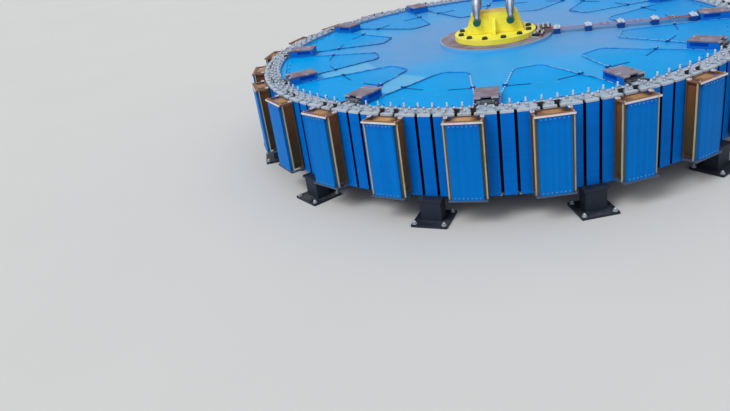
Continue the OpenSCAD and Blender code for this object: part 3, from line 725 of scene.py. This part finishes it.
def coil_tree():
    """A field coil on every point: copper turns, every third one wider, over a wrapped inner part."""
    shape = Shape("coil", {"Turns": COIL_TURNS, "Pitch": 0.0089, "Turn Thickness": 0.0072,
                           "Strip Width": 0.08, "Width": 0.518, "Height": 1.206, "Corner Radius": 0.15,
                           "Fin": 0.004}, ("Copper", "Wrap"))
    strip, pitch, turns = shape.size("Strip Width"), shape.size("Pitch"), shape.size("Turns")
    path = shape.add("GeometryNodeCurvePrimitiveQuadrilateral", {
        "Width": shape.size("Width") - strip, "Height": shape.size("Height") - strip})
    path = shape.add("GeometryNodeFilletCurve", {
        "Curve": path, "Count": 6, "Radius": shape.size("Corner Radius") - strip * 0.5, "Limit Radius": True},
        mode="POLY")

    def loop(thick, wide):
        """A ring of strip on the turns' middle line."""
        section = shape.add("GeometryNodeCurvePrimitiveQuadrilateral", {"Width": wide, "Height": thick})
        return shape.add("GeometryNodeCurveToMesh", {"Curve": path, "Profile Curve": section})

    slim = strip - shape.size("Fin") * 2
    row = shape.add("GeometryNodeMeshLine", {
        "Count": turns, "Start Location": shape.vector(z=pitch * 0.5), "Offset": shape.vector(z=pitch)})
    third = shape.work("MODULO", shape.add("GeometryNodeInputIndex"), 3.0) < 0.5
    fins, rest = (shape.add("GeometryNodeInstanceOnPoints", {
        "Points": row, "Selection": chosen, "Instance": loop(shape.size("Turn Thickness"), wide)})
        for chosen, wide in ((third, strip), (1 - third, slim)))
    depth = turns * pitch
    wrap = shape.raised(loop(depth * 0.98, slim - 0.008), depth * 0.5)
    return shape.on_points(shape.joined(shape.coated(shape.joined(fins, rest), "Copper"),
                                        shape.coated(wrap, "Wrap")))


FASTENER, PLATE, BEAD, COIL = fastener_tree(), plate_tree(), bead_tree(), coil_tree()
UP, DOWN = (0, 0, 1), (0, 0, -1)
CORNERS = ((-1, -1), (1, -1), (1, 1), (-1, 1))


# Meshes and pieces

def plain_mesh(name, corners, edges=(), faces=()):
    mesh = bpy.data.meshes.new(name)
    mesh.from_pydata(corners, edges, faces)
    return mesh


def points_mesh(name, places):
    """A mesh of loose points, each with the direction that it faces and its heading."""
    mesh = plain_mesh(name, [place[0] for place in places])
    for label, index in (("facing", 1), ("heading", 2)):
        layer = mesh.attributes.new(label, "FLOAT_VECTOR", "POINT")
        layer.data.foreach_set("vector", [value for place in places for value in place[index]])
    return mesh


def path_mesh(name, paths):
    """A mesh of edge chains, closed where a path ends at its start."""
    corners, edges = [], []
    for path in paths:
        first, last = len(corners), len(corners) + len(path) - 1
        edges += [(i, i + 1) for i in range(first, last)]
        if path[0] == path[-1]:
            edges[-1] = (last - 1, first)
            path = path[:-1]
        corners += path
    return plain_mesh(name, corners, edges)


def put(name, data):
    """Makes an object and links it into the scene."""
    thing = bpy.data.objects.new(name, data)
    scene.collection.objects.link(thing)
    return thing


def fix(piece, body="rotor"):
    """Fixes a piece to a body of the part."""
    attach(piece, body)
    return piece


def grow(name, shape, source, values, body="rotor"):
    """Runs a tree on a source mesh and keeps the result as one plain piece."""
    piece = put(name, source)
    modifier = piece.modifiers.new("shape", "NODES")
    modifier.node_group = shape.tree
    for label, value in values.items():
        modifier[shape.ids[label]] = value
    graph = bpy.context.evaluated_depsgraph_get()
    mesh = bpy.data.meshes.new_from_object(piece.evaluated_get(graph), depsgraph=graph)
    piece.modifiers.clear()
    piece.data = mesh
    return fix(piece, body)


def fasteners(name, places, radius, height, stud=0.5, rise=1.5, washer=1.25, thick=0.005,
              nut=nut_dark, ring=washer_pale, rod=stud_pale, body="rotor"):
    """Nuts with a washer and a stud each, sized by the nut's corner radius and height."""
    grow(name, FASTENER, points_mesh(name + "_points", places), {
        "Nut Radius": radius, "Nut Height": height, "Washer Radius": radius * washer, "Washer Height": thick,
        "Stud Radius": radius * stud, "Stud Height": height * rise,
        "Nut Finish": nut, "Washer Finish": ring, "Stud Finish": rod}, body)


def plates(name, places, length, width, height, screw_radius, finish, screw_finish):
    """Small plates, each with a screw in its middle."""
    grow(name, PLATE, points_mesh(name + "_points", places), {
        "Length": length, "Width": width, "Height": height, "Screw Radius": screw_radius,
        "Plate Finish": finish, "Screw Finish": screw_finish})


def beads(name, paths, radius, ripple, finish):
    """Weld beads along paths."""
    grow(name, BEAD, path_mesh(name + "_paths", paths), {
        "Radius": radius, "Pitch": 0.02, "Ripple": ripple, "Finish": finish})


def blocks(name, boxes, chamfer, finish):
    """Chamfered blocks, each from (angle, radius, side, low height, (depth, width, height))."""
    corners, faces = [], []
    for angle, radius, side, low, (deep, wide, high) in boxes:
        first = len(corners)
        for level, shrink in ((low, 0), (low + high - chamfer, 0), (low + high, chamfer)):
            corners += [spot(angle, radius + sx * (deep / 2 - shrink), side + sy * (wide / 2 - shrink), level)
                        for sx, sy in CORNERS]
        for ring in (first, first + 4):
            faces += [(ring + i, ring + (i + 1) % 4, ring + 4 + (i + 1) % 4, ring + 4 + i) for i in range(4)]
        faces += [(first + 3, first + 2, first + 1, first), (first + 8, first + 9, first + 10, first + 11)]
    mesh = plain_mesh(name, corners, (), faces)
    mesh.materials.append(finish)
    fix(put(name, mesh))


def upright(angle, radius, side, height, facing=UP):
    """A place for an upright nut, turned a little differently at each radius."""
    return (spot(angle, radius, side, height), facing, outward(angle + 17 * (radius % 0.1)))


def ring_places(radius, step, start, height, skip=0.0, facing=UP):
    """Places round a circle, left out within some degrees of the arms."""
    half = ARM_STEP / 2
    angles = [start + step * i for i in range(round(360 / step))]
    return [upright(a, radius, 0, height, facing) for a in angles
            if abs((a + half) % ARM_STEP - half) >= skip]


# Rim: studs, nuts and locking pieces on its upper end plates, and nuts under its lower ones
TIE_R, INNER_R, MIDDLE_R, OUTER_R, LOWER_R = 4.226, 4.288, 4.352, (4.425, 4.43), 4.395
RETAINER_R, LOCK_R, LOCK_SIDE = (4.243, 4.298), 4.232, 0.142
fasteners("rim_tie_studs", ring_places(TIE_R, 3, 1.5, rim_top, 1.9), 0.024, 0.03,
          stud=0.58, rise=2.8)
fasteners("rim_inner_nuts", ring_places(INNER_R, 3, 0, rim_top, 2.2), 0.028, 0.026)
fasteners("rim_middle_nuts", ring_places(MIDDLE_R, 3, 1.5, rim_top), 0.028, 0.026)
outer_places = [upright(POLE_START + PLACE_STEP * (i + half / 2), OUTER_R[half], 0, rim_top)
                for i in range(PLACES) for half in (0, 1)]
fasteners("rim_outer_nuts", outer_places, 0.024, 0.02)
fasteners("rim_lower_nuts", ring_places(LOWER_R, 3.75, 1.875, rim_low, 0, DOWN), 0.032, 0.034,
          rise=1.4)
retainer_places = [upright(a, radius, 0, retainer_top) for a in arm_angles for radius in RETAINER_R]
fasteners("retainer_nuts", retainer_places, 0.022, 0.022, rise=1.4, ring=FINISH["ring_grey"])
lock_places = [(spot(a, LOCK_R, side, rim_top), UP, sideways(a) * 0.6 + outward(a) * side * 6)
               for a in arm_angles for side in (-LOCK_SIDE, LOCK_SIDE)]
plates("retainer_locks", lock_places, 0.075, 0.026, 0.034, 0.009, FINISH["key_dark"], nut_dark)

# Arms: packing pieces beside the key packs, each with its side, width and drop below the cap, and weld
# beads round the housings
SHIMS = ((-0.106, 0.052, 0.03), (-0.151, 0.03, 0.055), (0.1, 0.04, 0.022), (0.146, 0.044, 0.048))
BEAD_GAP = 0.004
shims = [(a, HOUSING_OUT + 0.022, side, disc_top, (0.044, wide, housing_top - disc_top - drop))
         for a in arm_angles for side, wide, drop in SHIMS]
blocks("rim_key_shims", shims, 0.003, packing_finish("key_shim", (134, 146, 162), (66, 70, 80)))
bead_in = HOUSING_IN - BEAD_GAP
housing_paths = [[spot(a, radius, way * (HOUSING_HALF + BEAD_GAP), disc_top + 0.002) for radius, way in (
    (HOUSING_OUT, -1), (bead_in, -1), (bead_in, 1), (HOUSING_OUT, 1))] for a in arm_angles]
beads("housing_welds", housing_paths, 0.008, 0.004, painted("weld", (16, 110, 190), 0.2))

# Cover sheets: clamping strips, straps and lugs along their raised edges, and screws beside the rim
SHEET_R, SHEET_TAPER, SHEET_GAP = 2.295, 0.29, 0.012
STRAP_R, STRAP_LONG = 3.2, 0.36
SCREW_R = 4.03


def sheet_half(share):
    """Half of the angle that a cover sheet spans, at a share of the way out to the arms' housings."""
    full = ARM_STEP / 2 - math.degrees(math.asin((HOUSING_HALF + SHEET_GAP) / HOUSING_IN))
    return full * ((1 - SHEET_TAPER) * share ** 0.12 + SHEET_TAPER * share)


def sheet_edge(middle, inset):
    """Line along a cover sheet's raised edge, from one outer corner over its inner edge to the other."""
    side = []
    for i in range(1, 9):
        share = (i / 8) ** 4
        radius = SHEET_R + inset + (HOUSING_IN - SHEET_R - inset) * share
        side.append((radius, sheet_half(share) - math.degrees(inset / radius)))
    last = RIM_INNER - SHEET_GAP - inset
    side.append((last, ARM_STEP / 2 - math.degrees(math.asin((HOUSING_HALF + SHEET_GAP + inset) / last))))
    points = [spot(middle - half, radius) for radius, half in reversed(side)]
    return points + [spot(middle + half, radius) for radius, half in side]


def along_path(points, pitch, margin):
    """Evenly spaced places on a line, facing up, each heading along it."""
    found, reach = [], margin
    for start, end in zip(points, points[1:]):
        length = (end - start).length
        while reach <= length:
            found.append((start.lerp(end, reach / length), UP, (end - start).normalized()))
            reach += pitch
        reach -= length
    return found


def beside_first_arm(place):
    """True on the edges that run beside the arm at 0 degrees."""
    return abs(place[0].x) < 0.62 and place[0].y < -2.45


lip_top, plate_low = disc_top + 0.014, disc_top + 0.004
clips, near_clips, straps, sheet_lugs = [], [], [], []
for bay in bay_angles:
    edge = [point + Vector((0, 0, lip_top)) for point in sheet_edge(bay, 0.007)]
    clips += [place for place in along_path(edge, 0.19, 0.11) if not beside_first_arm(place)]
    near_clips += [place for place in along_path(edge, 0.105, 0.06) if beside_first_arm(place)]
    flank = sheet_half((STRAP_R - SHEET_R) / (HOUSING_IN - SHEET_R))
    for way in (-1, 1):
        strap = bay + way * (flank - math.degrees((0.03 + STRAP_LONG / 2) / STRAP_R))
        tilt = (sideways(strap) * -way + outward(strap) * 0.12).normalized()
        straps.append((spot(strap, STRAP_R + 0.02, 0, plate_low), UP, tilt))
        sheet_lugs.append((spot(bay + way * flank, STRAP_R, 0, plate_low), UP, tilt))
plates("sheet_clips", clips, 0.15, 0.022, 0.008, 0.005, clip_blue, clip_blue)
plates("near_sheet_clips", near_clips, 0.052, 0.026, 0.01, 0.006, clip_pale, stud_pale)
plates("sheet_straps", straps, STRAP_LONG, 0.02, 0.01, 0.006, strap_dark, strap_dark)
plates("sheet_lugs", sheet_lugs, 0.085, 0.045, 0.034, 0.014, strap_dark, clip_pale)
screws = [upright(bay + turn, SCREW_R, 0, plate_low) for bay in bay_angles for turn in (-8, -4, 0, 4, 8)]
fasteners("disc_screws", screws, 0.012, 0.01, rise=1.3, nut=clip_blue, ring=strap_dark,
          rod=clip_blue)

# Poles: wound coils and their packings, damper bar ends and screws of the end frames
DAMPER_SIDES = [i * 0.062 for i in range(-3, 4)]
FRAME_SCREWS, FRAME_SCREW_SIDE = ((4.554, 0), (4.722, 0.016)), 0.262
pole_mid = (coil_low.z + coil_high.z) / 2
coil_points = [(spot(a, COIL_IN, 0, pole_mid), outward(a), sideways(a)) for a in pole_angles]
coils = grow("wound_coils", COIL, points_mesh("coil_points", coil_points), {
    "Pitch": (COIL_OUT - COIL_IN) / COIL_TURNS, "Height": coil_high.z - coil_low.z,
    "Copper": FINISH["copper"], "Wrap": laminate("coil_wrap", (58, 48, 36), (34, 30, 24), 0.55)})
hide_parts("pole_coils")
packings = [(a, (rim_r + COIL_IN) / 2, 0, low, (COIL_IN - rim_r - 0.002, 0.39, 0.03))
            for a in pole_angles for low in (shoe_high.z + 0.001, shoe_low.z - 0.031)]
blocks("coil_packings", packings, 0.003, inner_brown)
bar_ends = [(spot(a, math.sqrt(SHOE_OUT ** 2 - side ** 2) - 0.006, side, height), outward(a), sideways(a))
            for a in pole_angles for height in (shoe_high.z - 0.034, shoe_low.z + 0.034)
            for side in DAMPER_SIDES]
fasteners("damper_bar_ends", bar_ends, 0.006, 0.006, rise=1.0, washer=11 / 6, thick=0.009,
          nut=tick_pale, ring=tick_pale, rod=tick_pale)
frame_screws = [upright(a, radius, side, frame_top - lower) for a in pole_angles
                for radius, lower in FRAME_SCREWS for side in (-FRAME_SCREW_SIDE, FRAME_SCREW_SIDE)]
fasteners("frame_screws", frame_screws, 0.011, 0.01, rise=1.2)

# Lifting device: nuts on its base and weld beads round the foot of its body and gussets
BASE_BOLT_R, BASE_BOLT_START = 0.655, 15.5
FOOT_HALF, FOOT_DEEP, GUSSET_LONG = 0.555, 0.2, 0.19
base_places = [upright(BASE_BOLT_START + 30 * i, BASE_BOLT_R, 0, base_top) for i in range(12)]
fasteners("lifting_base_nuts", base_places, 0.052, 0.036, rise=1.06, washer=1.1,
          thick=0.006, nut=nut_green, ring=pole_key_black, rod=nut_green)
foot_path = [Vector((sx * FOOT_HALF, sy * FOOT_DEEP, base_top)) for sx, sy in CORNERS + CORNERS[:1]]
gusset_paths = [[Vector((x, way * out, base_top)) for out in (FOOT_DEEP, FOOT_DEEP + GUSSET_LONG)]
                for way in (-1, 1) for x in (-0.03, 0.03)]
beads("lifting_welds", [foot_path] + gusset_paths, 0.012, 0.005,
      painted("weld_yellow", (226, 200, 30), 0.2))

# Field leads: nuts on the clamps, lap plates on the bars, and lugs, links and straps at the terminal
CLAMPS = (1.155, 1.7214, 2.2998, 2.8926, 3.555)
LAPS = (2.01, 2.6, 3.22)
BAR_SIDES, LUG_SIDES = (-0.055, 0.055), (-0.105, 0.0, 0.105)
LAP_HEIGHT, LUG_HEIGHT, LINK_HEIGHT = 0.012, 0.026, 0.045
LINKS = ((65, 0.815, 0), (72, 0.835, 25), (79, 0.815, -20), (86, 0.83, 15), (93, 0.815, -10),
         (100, 0.83, 10), (67, 0.945, 30), (73.5, 0.925, -15), (107, 0.845, 20), (113, 0.885, -10),
         (105, 0.93, 5))


def level(xs, ys, height):
    """Places at every crossing of some lines along Y and X, facing up."""
    return [((x, y, height), UP, (1, 0, 0)) for x in xs for y in ys]


fasteners("clamp_nuts", level(CLAMPS, LUG_SIDES, clamp_top), 0.016, 0.014, rise=1.35,
          nut=stud_pale)
plates("lead_laps", level(LAPS, BAR_SIDES, bar_top), 0.17, 0.056, LAP_HEIGHT, 0.014, bar_finish,
       washer_pale)
lap_nuts = [((x + dx, y, bar_top + LAP_HEIGHT), UP, (1, 0, 0))
            for x in LAPS for y in BAR_SIDES for dx in (-0.055, 0.055)]
fasteners("lap_nuts", lap_nuts, 0.011, 0.009, nut=nut_dark, ring=nut_dark, rod=nut_dark)
terminal_x = (terminal_low.x + terminal_high.x) / 2
terminal_lugs = [((terminal_x - way * 0.045, y, terminal_high.z), UP, (1, 0.2 * way, 0))
                 for way in (1, -1) for y in LUG_SIDES]
plates("terminal_lugs", terminal_lugs, 0.072, 0.08, LUG_HEIGHT, 0.012, lug_red, nut_dark)
lug_nuts = level((terminal_x - 0.055, terminal_x + 0.035), (-0.128, -0.083, -0.022, 0.022, 0.083, 0.128),
                 terminal_high.z + LUG_HEIGHT)
fasteners("terminal_nuts", lug_nuts, 0.015, 0.017, stud=0.55, rise=1.7, nut=washer_pale)
link_places = [(spot(angle, radius, 0, hub_top), UP, sideways(angle + turn)) for angle, radius, turn in LINKS]
plates("terminal_links", link_places, 0.085, 0.04, LINK_HEIGHT, 0.012, lug_red, nut_dark)
link_nuts = [(place + heading * way * 0.026 + Vector((0, 0, LINK_HEIGHT)), UP, heading)
             for place, facing, heading in link_places for way in (-1, 1)]
fasteners("link_nuts", link_nuts, 0.015, 0.016, stud=0.55, rise=1.9, nut=washer_pale)
blocks("terminal_foot", [(62.5, 0.86, 0, hub_top, (0.13, 0.05, 0.05))], 0.004, pole_key_black)
blocks("terminal_bracket", [
    (57.8, 0.797, 0, hub_top, (0.014, 0.02, 0.085)),
    (58.0, 0.88, 0, hub_top, (0.19, 0.012, 0.014))], 0.002, washer_pale)
terminal_straps = [(90, (terminal_high.x + CLAMPS[0]) / 2 - 0.02, y, bar_top + 0.001, (0.17, 0.024, 0.016))
                   for y in (-0.083, -0.045, 0.045, 0.083)]
blocks("terminal_straps", terminal_straps, 0.003,
       laminate("strap", (184, 142, 100), (120, 84, 60), 0.45))

# Shackles: the nut at the end of each pin
for name in ("left", "right"):
    pin_low, pin_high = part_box(name + "_shackle_pin")
    end = ((pin_low.x + pin_high.x) / 2, pin_high.y - 0.002, (pin_low.z + pin_high.z) / 2)
    fasteners(name + "_pin_end", [(end, (0, 1, 0), (1, 0, 0))], 0.03, 0.01, stud=1 / 3,
              rise=1.6, washer=1.5, thick=0.01, nut=nut_green, ring=FINISH["pin_green"],
              body=name + "_shackle")

# Pedestals: foot bolts
PEDESTAL_R, PEDESTAL_START, FOOT_TOP = 4.505, 18.75, 0.04
BOLT_SIDES = (-0.23, 0.23)
foot_places = [upright(PEDESTAL_START + a, PEDESTAL_R + out, side, FOOT_TOP)
               for a in arm_angles for out in BOLT_SIDES for side in BOLT_SIDES]
fasteners("pedestal_bolts", foot_places, 0.03, 0.028)


# Stage: floor, lamps, sky and camera
def lamp(name, energy, turn, spread):
    data = bpy.data.lights.new(name, "SUN")
    data.energy, data.angle = energy, math.radians(spread)
    put(name, data).rotation_euler = [math.radians(angle) for angle in turn]


FLOOR = 150
floor_mesh = plain_mesh("floor", [(x * FLOOR, y * FLOOR, 0) for x, y in CORNERS], (), [(0, 1, 2, 3)])
floor = put("floor", floor_mesh)
paint = Paint("floor")
tone = paint.shade((214, 214, 212), paint.noise(0.3, 3, 0.55) * 0.06 + 0.97)
floor_mesh.materials.append(paint.finish(tone, 0.8, specular=0.5))
lamp("key_lamp", 1.62, (40, 0, -40), 30)
lamp("fill_lamp", 0.18, (58, 0, 30), 40)
world = bpy.data.worlds.new("studio")
world.use_nodes = True
scene.world = world
sky = Graph(world.node_tree)
world.node_tree.nodes.clear()
soft = sky.add("ShaderNodeBackground", {"Color": light((244, 246, 250)), "Strength": 0.58})
pale = sky.add("ShaderNodeBackground", {"Color": light((226, 224, 230))})
seen, mirrored, through = (sky.add("ShaderNodeLightPath", output="Is " + ray + " Ray")
                           for ray in ("Camera", "Glossy", "Transmission"))
both = sky.add("ShaderNodeMixShader", {0: seen + mirrored + through, 1: soft, 2: pale})
sky.add("ShaderNodeOutputWorld", {"Surface": both})

# The camera's place, turn and focal length in millimetres, fitted to the rim, the arms and the poles
CAMERA_PLACE, FOCAL_LENGTH = (0.6238, -14.1176, 4.9785), 35.51
YAW, PITCH, ROLL = (math.radians(angle) for angle in (-14.7045, 25.0641, -8.6661))
view = Vector((math.sin(YAW) * math.cos(PITCH), math.cos(YAW) * math.cos(PITCH), -math.sin(PITCH)))
flat = Vector((math.cos(YAW), -math.sin(YAW), 0))
above = flat.cross(view)
right = flat * math.cos(ROLL) + above * math.sin(ROLL)
top = above * math.cos(ROLL) - flat * math.sin(ROLL)
lens = bpy.data.cameras.new("camera")
lens.lens, lens.sensor_width = FOCAL_LENGTH, 36.0
lens.clip_start, lens.clip_end = 0.1, 500.0
camera = put("camera", lens)
camera.matrix_world = Matrix.Translation(CAMERA_PLACE) @ Matrix((right, top, -view)).transposed().to_4x4()
scene.camera = camera
scene.view_settings.view_transform = "Standard"
